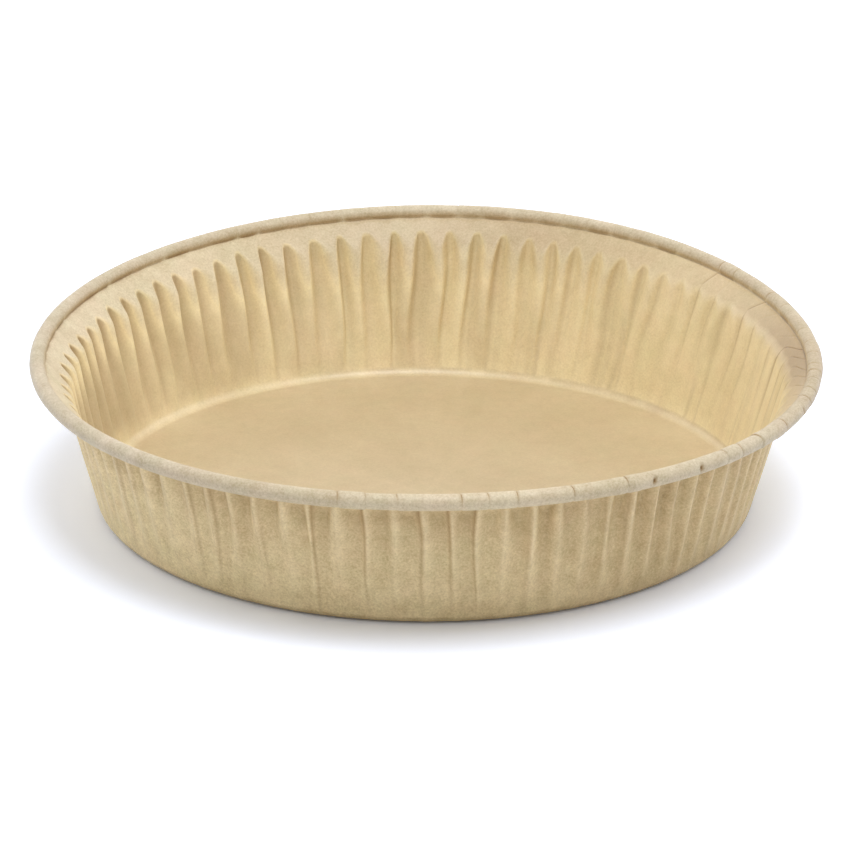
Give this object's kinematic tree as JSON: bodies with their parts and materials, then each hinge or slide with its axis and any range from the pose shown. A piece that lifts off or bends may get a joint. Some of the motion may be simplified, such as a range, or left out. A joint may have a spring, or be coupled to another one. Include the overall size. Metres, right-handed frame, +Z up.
{
  "type": "air fryer paper liner",
  "caption": "Shallow round greaseproof paper liner with a flat base, a sloping pleated wall, a smooth ledge and a rim rolled outward into a bead.",
  "frame": {"origin": "centre of the underside of the flat base", "axes": "+Z up out of the open mouth, -Y towards the front of the picture, +X to its right"},
  "size_m": [0.197, 0.2029, 0.041],
  "materials": {
    "greaseproof_paper": "unbleached, matt with a faint sheen, finely speckled"
  },
  "bodies": {
    "root": {"pleated_liner": "greaseproof_paper"}
  },
  "joints": []
}
